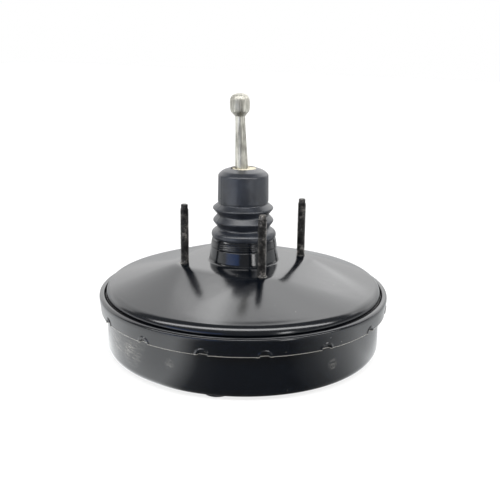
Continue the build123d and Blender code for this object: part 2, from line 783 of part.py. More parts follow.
# Guide bush, lip seal and lock ring in the neck
with BuildPart() as neck_bush:
    with BuildSketch(Plane.XZ):
        with BuildLine():
            Polyline(
                (tail_r + running_gap, bush_bottom),
                (neck_inside(bush_bottom) - seat_gap, bush_bottom),
                (neck_inside(bush_top) - seat_gap, bush_top),
                (tail_r + running_gap, bush_top),
                close=True,
            )
        make_face()
    revolve(axis=Axis.Z)
neck_bush.part.label = "neck_bush"
export_step(neck_bush.part, "parts/neck_bush.step")

with BuildPart() as lock_ring:
    with BuildSketch(Plane.XY.offset(bush_bottom - seat_gap)):
        Circle(neck_inside(bush_bottom - lock_ring_t) - 2 * seat_gap)
        Circle(lock_ring_bore_r, mode=Mode.SUBTRACT)
    extrude(amount=-lock_ring_t)
lock_ring.part.label = "lock_ring"
export_step(lock_ring.part, "parts/lock_ring.step")

seal_r = neck_top_r - sheet - seat_gap
with BuildPart() as neck_seal:
    with BuildSketch(Plane.XZ):
        with BuildLine():
            Polyline(
                (tail_r + free_gap, seal_bottom),
                (seal_r, seal_bottom),
                (seal_r, seal_top),
                (seal_r - seal_wall, seal_top),
                (seal_r - seal_wall, seal_bottom + seal_wall),
                (tail_r + free_gap + seal_wall, seal_bottom + seal_wall),
                (tail_r + free_gap, seal_top - seal_wall),
                close=True,
            )
        make_face()
    revolve(axis=Axis.Z)
neck_seal.part.label = "neck_seal"
export_step(neck_seal.part, "parts/neck_seal.step")

with BuildPart() as front_seal:
    with BuildSketch(Plane.XZ):
        with BuildLine():
            Polyline(
                (output_r + free_gap, -pilot_top_drop - front_seal_depth),
                (pilot_r - seat_gap, -pilot_top_drop - front_seal_depth),
                (pilot_r - seat_gap, -pilot_top_drop + seat_gap),
                (pilot_r + sheet, -pilot_top_drop + seat_gap),
                (pilot_r + sheet, -pilot_top_drop + front_seal_flange),
                (output_r + free_gap, -pilot_top_drop + front_seal_flange),
                close=True,
            )
        make_face()
    revolve(axis=Axis.Z)
    chamfer(front_seal.edges().filter_by(GeomType.CIRCLE).group_by(Axis.Z)[-1], length=small_bevel)
front_seal.part.label = "front_seal"
export_step(front_seal.part, "parts/front_seal.step")

# Dust boot: mouth, plain cap, folds and the collar that grips the neck
outside_line = [
    (mouth_r, mouth_top),
    (shoulder_r, shoulder_top),
    (cap_r, cap_top),
    (cap_foot_r, cap_foot),
    (waist_r, waist_top),
]
inside_line = [
    (mouth_r, mouth_top - mouth_wall),
    (tail_r + free_gap, shoulder_top - mouth_wall),
    (tail_r + free_gap, waist_top),
]
for fold in range(fold_count):
    fold_z = fold_top - fold * fold_pitch
    outside_line += [(fold_r, fold_z), (valley_r, fold_z - fold_pitch / 2)]
    inside_line += [(fold_r - fold_wall, fold_z), (valley_r - fold_wall, fold_z - fold_pitch / 2)]
outside_line += [
    (collar_shoulder_r, collar_shoulder),
    (collar_r, collar_top),
    (collar_r, collar_bottom),
]
inside_line += [
    (collar_shoulder_r - fold_wall, collar_shoulder - fold_wall),
    (neck_top_r + free_gap, collar_shoulder - 2 * fold_wall),
    (neck_top_r + free_gap, collar_bottom),
]
with BuildPart() as dust_boot:
    with BuildSketch(Plane.XZ):
        with BuildLine():
            outside = FilletPolyline(*outside_line, radius=boot_round)
            inside = Polyline(*inside_line)
            Line(outside @ 0, inside @ 0)
            Line(outside @ 1, inside @ 1)
        make_face()
    revolve(axis=Axis.Z)
dust_boot.part.label = "dust_boot"
export_step(dust_boot.part, "parts/dust_boot.step")

# Rubber grommet of the vacuum port, snapped into the base
with BuildPart() as grommet:
    with BuildSketch(Plane.XZ):
        with BuildLine():
            Polyline(
                (port_bore_r, -base_drop - port_flange_h),
                (port_flange_r, -base_drop - port_flange_h),
                (port_flange_r, -base_drop - seat_gap),
                (port_hole_r - seat_gap, -base_drop - seat_gap),
                (port_hole_r - seat_gap, -base_drop + sheet + seat_gap),
                (port_inner_r, -base_drop + sheet + seat_gap),
                (port_hole_r, -base_drop + sheet + port_inner_h),
                (port_bore_r, -base_drop + sheet + port_inner_h),
                close=True,
            )
        make_face()
    revolve(axis=Axis.Z)
    lower_circles = grommet.edges().filter_by(GeomType.CIRCLE).group_by(Axis.Z)[0]
    fillet(lower_circles.sort_by(lambda e: e.radius)[-1], radius=port_flange_h / 2)

with BuildPart() as vacuum_grommet:
    with Locations(port_centre):
        add(grommet.part)
vacuum_grommet.part.label = "vacuum_grommet"
export_step(vacuum_grommet.part, "parts/vacuum_grommet.step")
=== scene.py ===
"""Vacuum brake booster: gloss black pressed shells, pleated rubber boot, push rod and studs."""

from math import atan2, cos, hypot, pi, radians, sin, sqrt, tau

import bmesh
import bpy
from mathutils import Matrix, Vector


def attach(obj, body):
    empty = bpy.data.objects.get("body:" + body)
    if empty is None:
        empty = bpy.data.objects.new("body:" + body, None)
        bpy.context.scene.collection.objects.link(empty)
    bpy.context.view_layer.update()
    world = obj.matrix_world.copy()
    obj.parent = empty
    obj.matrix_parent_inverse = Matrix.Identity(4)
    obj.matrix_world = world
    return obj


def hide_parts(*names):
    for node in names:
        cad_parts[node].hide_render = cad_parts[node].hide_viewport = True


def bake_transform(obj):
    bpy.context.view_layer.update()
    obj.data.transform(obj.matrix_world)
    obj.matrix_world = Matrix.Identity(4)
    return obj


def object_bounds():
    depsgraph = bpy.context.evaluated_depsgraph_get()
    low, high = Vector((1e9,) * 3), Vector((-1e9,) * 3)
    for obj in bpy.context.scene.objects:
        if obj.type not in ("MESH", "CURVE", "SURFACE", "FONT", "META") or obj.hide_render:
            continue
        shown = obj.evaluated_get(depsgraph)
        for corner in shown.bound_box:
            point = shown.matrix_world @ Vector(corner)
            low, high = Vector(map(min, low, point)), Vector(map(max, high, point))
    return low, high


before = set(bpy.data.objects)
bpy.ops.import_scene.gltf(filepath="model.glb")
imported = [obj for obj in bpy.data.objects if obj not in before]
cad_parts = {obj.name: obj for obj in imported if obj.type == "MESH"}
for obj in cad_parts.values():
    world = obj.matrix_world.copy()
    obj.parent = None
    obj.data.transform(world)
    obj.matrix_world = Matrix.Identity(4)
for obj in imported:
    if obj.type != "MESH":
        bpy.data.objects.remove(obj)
cad_box = [list(corner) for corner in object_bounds()]
MM = 0.001

# Sizes in millimetres, as in the solids; drops are measured down from the plateau, turns in degrees about Z
SHEET = 1.6
PLATEAU_HALF, PLATEAU_CORNER, PLATEAU_ROLL = 50.5, 16.0, 7.0
DOME_R, DOME_DROP, DOME_SWELL, DOME_EDGE = 128.8, 21.6, 0.4, 4.4
GROOVE_R, GROOVE_DROP = 130.4, 29.6
RING_R, RING_DROP, LIP_R, LIP_DROP = 137.3, 26.5, 136.0, 43.0
SKIRT_IN_R, SKIRT_DROP, SKIRT_STEPS = 133.5, 30.6, 16
DRUM_R, FLANGE_DROP, BASE_DROP, DRUM_CORNER, RECESS_DROP = 130.3, 36.4, 83.0, 7.2, 61.0
THREAD_R, THREAD_CORE_R, THREAD_PITCH, THREAD_DEPTH = 4.0, 3.42, 1.25, 0.62
STUD_X, STUD_Y, CYLINDER_STUD_X = 41.0, 40.0, 42.0
PIVOT_Z, ROD_LEAN = 11.0, 2.4
PORT_RING_R, PORT_TURN = 109.6, -72.0

# The neck: three ridges on a taper, and a round root outside which the plateau squares up
NECK_FOOT_R, NECK_TAPER, ROOT_R, SQUARE_FROM_R = 31.7, 0.14, 36.0, 34.5
RIDGE_HEIGHTS, RIDGE_HALF, RIDGE_RISE = (20.2, 18.3, 16.4), 0.7, 0.4

# Stakes stand 24 degrees apart on the whole, the six that the photo shows as it shows them
STAKE_TURNS = [-122.9, -98.8, -74.8, -53.0, -29.5, -5.0] + [20 + 24 * k for k in range(9)]
STAKE_R, STAKE_DEPTH, STAKE_EDGE, STAKE_BEAD, STAKE_BEAD_WIDTH = 4.4, 2.4, 0.8, 0.7, 2.2

# The boot's mould line, and how far the rod pushes the boot to the camera's left, from which height on
MOULD_LINE_TURN, MOULD_LINE_HALF, MOULD_LINE_RISE, BOOT_SKIN_R = -121, 0.7, 0.45, 22.7
BOOT_DRIFT, DRIFT_WAY, DRIFT_FROM, DRIFT_OVER = 1.1, (-0.874, -0.486), 20, 28

# Uneven top of the felt: waves round the ring with their phase and height, and how far out it grips the rod
FELT_WAVES, FELT_TOP_FROM, FELT_GRIP_R = ((7, 1, 0.25), (17, 0, 0.12)), 85, 9

# Scuffs on the drum and one painted highlight on the plateau, a pale glint: centre, reach and strength
SCUFFS_AND_GLINT = [
    ((-68.5, -110.1, -59.3), 17.0, 0.7),
    ((-43.4, -122.2, -57.3), 18.0, 0.5),
    ((-90.0, -93.0, -54.0), 18.0, 0.6),
    ((-30.0, -126.0, -47.0), 9.0, 0.3),
    ((2.3, -129.7, -58.5), 5.5, 0.5),
    ((118.1, -53.7, -61.1), 6.0, 0.45),
    # painted highlight: a pale glint on the plateau in front of the neck, standing in for a reflection in
    # the enamel
    ((14.5, -38.4, 0.0), 1.9, 1.6),
]
# Heights above the lip between which a pale line is painted along it as a highlight, and below which the
# studs' collars are painted pale as a highlight
LIP_HIGHLIGHT_FROM, LIP_HIGHLIGHT_TO, COLLAR_TOP = 0.75, 0.35, 1.4

# Camera: focal length on a 36 mm sensor, place in metres, and its own directions
SENSOR, LENS, CLIP_END = 36, 58.41, 20
CAMERA_AT = (0.36621, -0.65116, 0.21941)
CAMERA_RIGHT = (0.87373, 0.48625, 0.01227)
CAMERA_UP = (-0.14154, 0.23004, 0.96283)
CAMERA_BACK = (0.46536, -0.84299, 0.26982)
VIEW = (0.4833, -0.8755)  # level direction towards the camera

# Room: brightness by angle over the top, from the horizon behind at 0 to the camera's at 1
CEILING = [(0.36, 0.3), (0.62, 0.3), (0.65, 9.0), (0.72, 9.0), (0.75, 0.35), (1.0, 0.3)]
RIGHT_ARC = [(0.0, 1.05), (0.03, 1.15), (0.09, 1.7), (0.13, 2.3), (0.2, 2.5), (0.25, 2.7)]
RIGHT_ARC += [(0.28, 3.2), (0.31, 3.6), (0.335, 3.2)] + CEILING
LEFT_ARC = [(0.0, 1.05), (0.06, 1.4), (0.09, 1.7), (0.12, 1.55), (0.2, 1.6), (0.26, 1.9), (0.335, 1.9)]
LEFT_ARC += CEILING
FLANK_LEVEL, SIDE_LEVEL = 1.8, 0.3
# Windows: level, bearing and height in degrees, softness of the edge
WINDOWS = [(2.8, (-18.0, -10.5), (43.0, 60.0), 1.4), (1.3, (16.0, 21.0), (21.0, 27.0), 2.5)]
# Floor: brightness by turn from the camera's side, from -180 degrees at 0 to 180 at 1
FLOOR_LEVELS = [(0.0, 0.6), (0.1, 0.8), (0.194, 1.05), (0.235, 1.5), (0.29, 1.9), (0.36, 2.0), (0.4, 2.3)]
FLOOR_LEVELS += [(0.435, 0.3), (0.47, 0.16), (0.57, 0.13), (0.61, 0.45), (0.66, 1.2), (0.7, 1.6)]
FLOOR_LEVELS += [(0.725, 1.3), (0.77, 0.97), (0.9, 0.9), (1.0, 0.6)]
FLOOR_Z, FLOOR_HALF, FLOOR_GLOW = cad_box[0][2], 4.0, 0.8
FLOOR_TINT = (0.98, 1.0, 1.01, 1)


# Camera
def photo_camera():
    """Long lens, a little above the rim and turned to the front stud, with the photo's slight roll."""
    data = bpy.data.cameras.new("camera")
    data.sensor_width = SENSOR
    data.lens = LENS
    data.clip_end = CLIP_END
    camera = bpy.data.objects.new("camera", data)
    turned = Matrix((CAMERA_RIGHT, CAMERA_UP, CAMERA_BACK)).transposed().to_4x4()
    camera.matrix_world = Matrix.Translation(CAMERA_AT) @ turned
    bpy.context.scene.collection.objects.link(camera)
    bpy.context.scene.camera = camera


# Nodes
def hex_colour(code):
    """An sRGB hex colour as the linear one that sockets take."""
    parts = [int(code[i : i + 2], 16) / 255 for i in (1, 3, 5)]
    return [c / 12.92 if c <= 0.04045 else ((c + 0.055) / 1.055) ** 2.4 for c in parts] + [1]


def fill(tree, node, sockets):
    """Gives each input of a node, by name or number, a value or another node's output."""
    for key, value in sockets.items():
        if isinstance(value, bpy.types.NodeSocket):
            tree.links.new(value, node.inputs[key])
        else:
            node.inputs[key].default_value = value


def add_node(tree, kind, sockets=None, **settings):
    """Adds a node with its settings and inputs."""
    made = tree.nodes.new(kind)
    for name, value in settings.items():
        setattr(made, name, value)
    fill(tree, made, sockets or {})
    return made


def noise(tree, place, scale, detail, roughness=0.5):
    """Fractal noise from 0 to 1."""
    sockets = {"Vector": place, "Scale": scale, "Detail": detail, "Roughness": roughness}
    return add_node(tree, "ShaderNodeTexNoise", sockets).outputs["Fac"]


def cells(tree, place, scale):
    """Distance from the nearest of many scattered points."""
    return add_node(tree, "ShaderNodeTexVoronoi", {"Vector": place, "Scale": scale}).outputs["Distance"]


def stretch(tree, place, scale):
    """Stretches a place's axes, so that a pattern on it runs along one of them."""
    return add_node(tree, "ShaderNodeMapping", {"Vector": place, "Scale": scale}).outputs[0]


def calc(tree, operation, first, second=0.0):
    """One step of arithmetic."""
    return add_node(tree, "ShaderNodeMath", {0: first, 1: second}, operation=operation).outputs[0]


def measure(tree, operation, first, second=(0.0, 0.0, 0.0)):
    """A number from vectors: a length, a distance or a dot product."""
    sockets = {0: first, 1: second}
    return add_node(tree, "ShaderNodeVectorMath", sockets, operation=operation).outputs["Value"]


def height_of(tree, place):
    """The Z of a place or a direction."""
    return add_node(tree, "ShaderNodeSeparateXYZ", {0: place}).outputs["Z"]


def blend_of(tree, share, first, second):
    """Two values mixed, the first at share 0 and the second at share 1."""
    return add_node(tree, "ShaderNodeMix", {0: share, 2: first, 3: second}, data_type="FLOAT").outputs[0]


def spread(tree, value, start, end, low=0.0, high=1.0):
    """Runs from low at start to high at end, and stays there beyond."""
    sockets = {"Value": value, "From Min": start, "From Max": end, "To Min": low, "To Max": high}
    return add_node(tree, "ShaderNodeMapRange", sockets).outputs[0]


def edge(tree, value, start, end):
    """A soft step from 0 at start to 1 at end."""
    sockets = {"Value": value, "From Min": start, "From Max": end}
    return add_node(tree, "ShaderNodeMapRange", sockets, interpolation_type="SMOOTHSTEP").outputs[0]


def relief(tree, height, strength, depth, under=None):
    """Relief from a height, over the relief under it; depth in metres."""
    sockets = {"Strength": strength, "Distance": depth, "Height": height}
    if under is not None:
        sockets["Normal"] = under
    return add_node(tree, "ShaderNodeBump", sockets).outputs[0]


def ramp(tree, factor, stops):
    """A ramp through (place, linear colour) stops."""
    made = add_node(tree, "ShaderNodeValToRGB", {"Fac": factor})
    elements = made.color_ramp.elements
    while len(elements) < len(stops):
        elements.new(0.5)
    for element, (place, colour) in zip(elements, stops):
        element.position = place
        element.color = colour
    return made.outputs["Color"]


def colours(tree, factor, *stops):
    """Colour along a factor, through (place, hex colour) stops."""
    return ramp(tree, factor, [(place, hex_colour(code)) for place, code in stops])


def levels(tree, factor, stops):
    """Brightness along a factor, through (place, level) stops; levels run past 1."""
    most = max(level for _, level in stops)
    shares = ramp(tree, factor, [(place, [level / most] * 3 + [1]) for place, level in stops])
    return calc(tree, "MULTIPLY", shares, most)


# Materials
def new_material(name):
    """A material with an empty Principled shader, and the place that its patterns follow."""
    made = bpy.data.materials.new(name)
    made.use_nodes = True
    tree = made.node_tree
    tree.nodes.clear()
    shader = add_node(tree, "ShaderNodeBsdfPrincipled")
    add_node(tree, "ShaderNodeOutputMaterial", {"Surface": shader.outputs[0]})
    place = add_node(tree, "ShaderNodeTexCoord").outputs["Object"]
    return made, tree, shader, place


def stoved_enamel():
    """Stoved black enamel over pressed steel: a deep gloss with a faint orange peel, fine dust in it,
    and on the drum the pale scuff marks and thumb smears of handling; painted highlights as well: a pale
    line along the skirt's lip and one glint on the plateau."""
    made, tree, shader, place = new_material("stoved_enamel")
    peel = relief(tree, noise(tree, place, scale=260.0, detail=2.0), strength=0.035, depth=0.0006)
    waves = noise(tree, place, scale=42.0, detail=2.0)
    # Dust: specks of about half a millimetre, in sparse clouds
    specks = spread(tree, cells(tree, place, scale=190.0), 0.035, 0.06, 1.0, 0.0)
    clouds = spread(tree, noise(tree, place, scale=55.0, detail=1.0), 0.6, 0.66)
    dust = calc(tree, "MULTIPLY", specks, clouds)
    # Scuffs, and the plateau's glint painted as a highlight: streaky pale patches, full within a fifth of
    # their reach
    streaks = noise(tree, stretch(tree, place, (0.8, 0.8, 4.0)), scale=130.0, detail=6.0, roughness=0.7)
    rubbed_and_glint = 0.0
    for centre, reach, strength in SCUFFS_AND_GLINT:
        away = measure(tree, "DISTANCE", place, [c * MM for c in centre])
        rubbed_and_glint = calc(tree, "MAXIMUM", spread(tree, away, reach * MM / 5, reach * MM, strength, 0.0), rubbed_and_glint)
    scuffs_and_glint = calc(tree, "MULTIPLY", rubbed_and_glint, spread(tree, streaks, 0.42, 0.72))
    # Painted highlight: a pale line along the skirt's lip, standing in for the light that the lip's edge
    # catches
    flat = {0: place, 1: (1, 1, 0)}
    outward = add_node(tree, "ShaderNodeVectorMath", flat, operation="MULTIPLY").outputs[0]
    on_skirt = calc(tree, "GREATER_THAN", measure(tree, "LENGTH", outward), SKIRT_IN_R * MM)
    highlight_top, highlight_bottom = (LIP_HIGHLIGHT_FROM - LIP_DROP) * MM, (LIP_HIGHLIGHT_TO - LIP_DROP) * MM
    at_lip = spread(tree, height_of(tree, place), highlight_top, highlight_bottom, 0.0, 0.75)
    lip_highlight = calc(tree, "MULTIPLY", on_skirt, at_lip)
    # dust and scuff colour together with the painted highlights of the lip and the plateau
    marks_and_highlights = calc(tree, "MAXIMUM", calc(tree, "MAXIMUM", dust, scuffs_and_glint), lip_highlight)
    looks = {
        "Base Color": colours(tree, marks_and_highlights, (0.0, "#02050b"), (1.0, "#96938c")),
        "Roughness": spread(tree, marks_and_highlights, 0.0, 1.0, 0.17, 0.55),
        "Normal": relief(tree, waves, strength=0.05, depth=0.002, under=peel),
        "IOR": 1.55,
    }
    fill(tree, shader, looks)
    return made


def moulded_rubber():
    """Moulded EPDM rubber: satin blue-black with a soft sheen, a fine spark-eroded grain and a pale
    bloom of talc here and there."""
    made, tree, shader, place = new_material("moulded_rubber")
    grain = noise(tree, place, scale=1400.0, detail=3.0)
    bloom = noise(tree, place, scale=70.0, detail=4.0, roughness=0.6)
    looks = {
        "Base Color": colours(tree, bloom, (0.35, "#16191f"), (0.75, "#262a32")),
        "Roughness": spread(tree, bloom, 0.3, 0.7, 0.27, 0.38),
        "Normal": relief(tree, grain, strength=0.3, depth=0.0003),
        "IOR": 1.52,
    }
    fill(tree, shader, looks)
    return made


def turned_zinc_steel():
    """Turned steel under thin yellowish zinc: bright, with fine rings from the tool round the rod."""
    made, tree, shader, place = new_material("turned_zinc_steel")
    tool_path = {"Vector": place, "Scale": 420.0, "Distortion": 1.2, "Detail": 2.0, "Detail Scale": 1.5}
    rings = add_node(tree, "ShaderNodeTexWave", tool_path, bands_direction="Z").outputs["Fac"]
    patches = noise(tree, place, scale=60.0, detail=5.0)
    streaks = noise(tree, stretch(tree, place, (12.0, 12.0, 0.6)), scale=90.0, detail=4.0)
    shade = blend_of(tree, 0.5, patches, streaks)
    looks = {
        "Base Color": colours(tree, shade, (0.36, "#7b7a73"), (0.5, "#b3b1a8"), (0.62, "#dbd9cf")),
        "Roughness": spread(tree, shade, 0.3, 0.7, 0.56, 0.44),
        "Normal": relief(tree, rings, strength=0.12, depth=0.0002),
        "Metallic": 1.0,
    }
    fill(tree, shader, looks)
    return made


def phosphated_stud_steel():
    """Rolled thread on phosphated steel: brown-black grain that shines only on its crests, and a swaged
    collar coloured pale as a painted highlight for the light that its bevel catches."""
    made, tree, shader, place = new_material("phosphated_stud_steel")
    grain = noise(tree, place, scale=900.0, detail=6.0, roughness=0.75)
    patches = noise(tree, place, scale=180.0, detail=3.0)
    shade = blend_of(tree, 0.5, grain, patches)
    shank = colours(tree, shade, (0.4, "#191919"), (0.52, "#3a3938"), (0.62, "#8d8984"))
    # painted highlight: the collar's pale colour stands in for the light that its bevel reflects
    collar = calc(tree, "LESS_THAN", height_of(tree, place), COLLAR_TOP * MM)
    by_part = {0: collar, 6: shank, 7: hex_colour("#989690")}
    looks = {
        "Base Color": add_node(tree, "ShaderNodeMix", by_part, data_type="RGBA").outputs[2],
        "Metallic": spread(tree, collar, 0.0, 1.0, 0.75, 0.4),
        "Normal": relief(tree, grain, strength=0.35, depth=0.0003),
        "Roughness": 0.42,
    }
    fill(tree, shader, looks)
    return made


def filter_felt():
    """Pressed wool felt: warm cream, matt, with matted fibres."""
    made, tree, shader, place = new_material("filter_felt")
    fibres = noise(tree, place, scale=700.0, detail=8.0, roughness=0.8)
    tufts = blend_of(tree, 0.5, fibres, cells(tree, place, scale=500.0))
    looks = {
        "Base Color": colours(tree, fibres, (0.35, "#aba287"), (0.6, "#d3ccb7")),
        "Normal": relief(tree, tufts, strength=0.7, depth=0.0006),
        "Roughness": 0.95,
        "Sheen Weight": 0.3,
    }
    fill(tree, shader, looks)
    return made


def plain_pressed_steel():
    """Uncoated pressed steel sheet: grey with a directional mill finish and a film of oil."""
    made, tree, shader, place = new_material("plain_pressed_steel")
    mill = noise(tree, stretch(tree, place, (1.0, 14.0, 1.0)), scale=120.0, detail=6.0)
    looks = {
        "Base Color": colours(tree, mill, (0.3, "#7d7e80"), (0.7, "#a3a4a5")),
        "Normal": relief(tree, mill, strength=0.1, depth=0.0002),
        "Metallic": 1.0,
        "Roughness": 0.35,
    }
    fill(tree, shader, looks)
    return made


def drawn_spring_wire():
    """Drawn and tempered spring wire: dark grey with faint die lines."""
    made, tree, shader, place = new_material("drawn_spring_wire")
    lines = noise(tree, place, scale=500.0, detail=5.0)
    looks = {
        "Base Color": colours(tree, lines, (0.35, "#3c3d40"), (0.65, "#66676a")),
        "Normal": relief(tree, lines, strength=0.1, depth=0.0002),
        "Metallic": 1.0,
        "Roughness": 0.3,
    }
    fill(tree, shader, looks)
    return made


def phenolic_moulding():
    """Phenolic moulding of the power piston: dull brown-black with mineral flecks."""
    made, tree, shader, place = new_material("phenolic_moulding")
    flecks = cells(tree, place, scale=800.0)
    shade = blend_of(tree, 0.4, noise(tree, place, scale=90.0, detail=4.0), flecks)
    looks = {
        "Base Color": colours(tree, shade, (0.3, "#211d1a"), (0.7, "#37312c")),
        "Normal": relief(tree, flecks, strength=0.15, depth=0.0003),
        "Roughness": 0.5,
    }
    fill(tree, shader, looks)
    return made


# Shaping
def half_section(profile, closed=False):
    """A wire through (radius, height) or (radius, height, rounding) corners, in millimetres."""
    mesh = bmesh.new()
    corners = [mesh.verts.new((radius * MM, 0, height * MM)) for radius, height, *_ in profile]
    for first, second in zip(corners, corners[1:]):
        mesh.edges.new((first, second))
    if closed:
        mesh.edges.new((corners[-1], corners[0]))
    rounded = {"segments": 6, "profile": 0.5, "affect": "VERTICES", "material": -1}
    for vertex, (_, _, *rounding) in zip(corners, profile):
        if rounding:
            bmesh.ops.bevel(mesh, geom=[vertex], offset=rounding[0] * MM, **rounded)
    return mesh


def turn(mesh, steps):
    """Spins a half section into a whole turned piece."""
    bmesh.ops.spin(
        mesh,
        geom=mesh.verts[:] + mesh.edges[:],
        cent=(0, 0, 0),
        axis=(0, 0, 1),
        dvec=(0, 0, 0),
        angle=tau,
        steps=steps,
        use_merge=True,
    )
    bmesh.ops.remove_doubles(mesh, verts=mesh.verts, dist=0.02 * MM)
    bmesh.ops.recalc_face_normals(mesh, faces=mesh.faces)
    return mesh


def make_piece(name, mesh, body, material, nodes, crease=34):
    """Finishes a mesh as a named piece: smooth but for its creases, on its body, for its CAD nodes."""
    for face in mesh.faces:
        face.smooth = True
    for side in mesh.edges:
        side.smooth = not (len(side.link_faces) == 2 and side.calc_face_angle() > radians(crease))
    data = bpy.data.meshes.new(name)
    mesh.to_mesh(data)
    mesh.free()
    data.materials.append(material)
    piece = bpy.data.objects.new(name, data)
    bpy.context.scene.collection.objects.link(piece)
    if body:
        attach(piece, body)
    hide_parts(*nodes)
    return piece


def make_sheet(name, mesh, node, crease):
    """Finishes a pressing of the shells: enamelled, with the sheet's thickness on its inside."""
    piece = make_piece(name, mesh, "shell", enamel, [node], crease=crease)
    wall = piece.modifiers.new("sheet", "SOLIDIFY")
    wall.thickness = SHEET * MM
    wall.offset = -1


def squared_radius(half, corner, turn_angle):
    """How far out a rounded square lies at a turn about Z."""
    c, s = abs(cos(turn_angle)), abs(sin(turn_angle))
    c, s = max(c, s), min(c, s)
    core = half - corner
    if half * s / c <= core:
        return half / c
    both = c + s
    return core * both + sqrt(max(corner**2 - core**2 * (2 - both**2), 0))


# Rear shell
def dome_height(share):
    """Height of the dome, from the plateau's edge at share 0 to its outer edge at share 1."""
    return -DOME_DROP * share + 4 * DOME_SWELL * share * (1 - share)


def square_up(mesh):
    """Rolls the plateau's edge and draws the turned sheet out to a rounded square there, which turns
    round again towards the dome's edge."""
    dome_width = DOME_R - PLATEAU_HALF
    for vertex in mesh.verts:
        x, y, z = vertex.co
        r = hypot(x, y)
        if z > 0.1 * MM or r > (DOME_R - DOME_EDGE - 0.2) * MM or r < ROOT_R * MM:
            continue
        turn_angle = atan2(y, x)
        past = r / MM - PLATEAU_HALF
        share = past / dome_width
        if abs(past) < PLATEAU_ROLL:
            rolled = ((past + PLATEAU_ROLL) / (2 * PLATEAU_ROLL)) ** 2
            vertex.co.z = dome_height(PLATEAU_ROLL / dome_width) * rolled * MM
        if share <= 0:
            full = squared_radius(PLATEAU_HALF, PLATEAU_CORNER, turn_angle) / PLATEAU_HALF
            part = max(0.0, (r / MM - SQUARE_FROM_R) / (PLATEAU_HALF - SQUARE_FROM_R))
            new_r = r * (1 + (full - 1) * part)
        else:
            half = PLATEAU_HALF + dome_width * share
            corner = PLATEAU_CORNER + (DOME_R - PLATEAU_CORNER) * share
            new_r = squared_radius(half, corner, turn_angle) * MM
        vertex.co.x, vertex.co.y = x / r * new_r, y / r * new_r


def rear_pressing():
    """Neck, square plateau, dome and groove of the rear shell, pressed from one sheet."""
    section = [(24.6, 25.6, 0.6), (24.6, 27.0, 0.6), (28.0, 27.0, 1.5), (28.0, 23.6, 0.5), (28.7, 22.0, 0.4)]
    for ridge_z in RIDGE_HEIGHTS:
        base = NECK_FOOT_R - NECK_TAPER * ridge_z
        section.append((base, ridge_z + RIDGE_HALF, 0.25))
        section.append((base + RIDGE_RISE, ridge_z, 0.35))
        section.append((base, ridge_z - RIDGE_HALF, 0.25))
    section += [(29.7, 14.0), (31.4, 2.6, 1.2), (32.4, 0.9, 1.0), (34.2, 0.0, 0.8)]
    section += [(r, 0.0) for r in (38.0, 41.0, 43.5, 45.0, 46.5, 48.0, 49.3)]
    # Closer rings where the plateau's edge is rolled
    shares = [0.0, 0.016, 0.032, 0.05, 0.07, 0.09] + [0.1 + 0.05 * k for k in range(18)]
    section += [(PLATEAU_HALF + (DOME_R - PLATEAU_HALF) * share, dome_height(share)) for share in shares]
    section += [(DOME_R, -DOME_DROP, DOME_EDGE), (129.4, -GROOVE_DROP, 0.6), (130.6, -GROOVE_DROP)]
    mesh = turn(half_section(section), steps=288)
    square_up(mesh)
    make_sheet("rear_pressing", mesh, "rear_shell", crease=60)


def from_stake(vertex):
    """Distance from the nearest stake's centre, measured over the skirt; endless off the skirt."""
    x, y, z = vertex.co
    if hypot(x, y) < SKIRT_IN_R * MM or z > -SKIRT_DROP * MM:
        return float("inf")
    turned = min(abs((atan2(y, x) - radians(turn_angle) + pi) % tau - pi) for turn_angle in STAKE_TURNS)
    return hypot(turned * LIP_R, z / MM + LIP_DROP)


def push_in_stakes(mesh):
    """Half-moon stakes at the lip: the punch pushes the sheet in and throws up a bead round each."""
    reach = STAKE_R + STAKE_BEAD_WIDTH
    near = [side for side in mesh.edges if max(from_stake(vertex) for vertex in side.verts) < reach + 0.8]
    bmesh.ops.subdivide_edges(mesh, edges=near, cuts=2, use_grid_fill=True)
    for vertex in mesh.verts:
        away = from_stake(vertex)
        if away > reach:
            continue
        bead = STAKE_BEAD * sin(pi * (away - STAKE_R) / STAKE_BEAD_WIDTH) if away > STAKE_R else 0.0
        inside = min(1.0, max(0.0, (STAKE_R - away) / STAKE_EDGE))
        push = STAKE_DEPTH * inside * inside * (3 - 2 * inside) - bead
        x, y, _ = vertex.co
        r = hypot(x, y)
        vertex.co.x, vertex.co.y = x / r * (r - push * MM), y / r * (r - push * MM)


def clamping_rim():
    """Clamping ring and skirt of the rear shell, with its lip and its stakes."""
    section = [
        (GROOVE_R, -GROOVE_DROP),
        (131.8, -GROOVE_DROP, 0.6),
        (132.4, -RING_DROP, 1.2),
        (136.0, -RING_DROP, 1.2),
        (RING_R, -28.1, 1.4),
    ]
    for share in (k / SKIRT_STEPS for k in range(SKIRT_STEPS + 1)):
        section.append((RING_R + (LIP_R - RING_R) * share, -SKIRT_DROP - (LIP_DROP - SKIRT_DROP) * share))
    mesh = turn(half_section(section), steps=720)
    push_in_stakes(mesh)
    make_sheet("clamping_rim", mesh, "rear_shell", crease=50)


# Front shell and studs
def front_drum():
    """Drum of the front shell: clamped flange, wall, base ring and the master cylinder's recess."""
    section = [
        (134.0, -FLANGE_DROP),
        (DRUM_R, -FLANGE_DROP, 0.8),
        (DRUM_R, -50.0),
        (DRUM_R, -62.0),
        (DRUM_R, -BASE_DROP, DRUM_CORNER),
        (67.6, -BASE_DROP, 3.6),
        (56.4, -RECESS_DROP, 4.4),
        (19.0, -RECESS_DROP, 2.4),
        (19.0, -50.0),
    ]
    make_sheet("front_drum", turn(half_section(section), steps=288), "front_shell", crease=50)


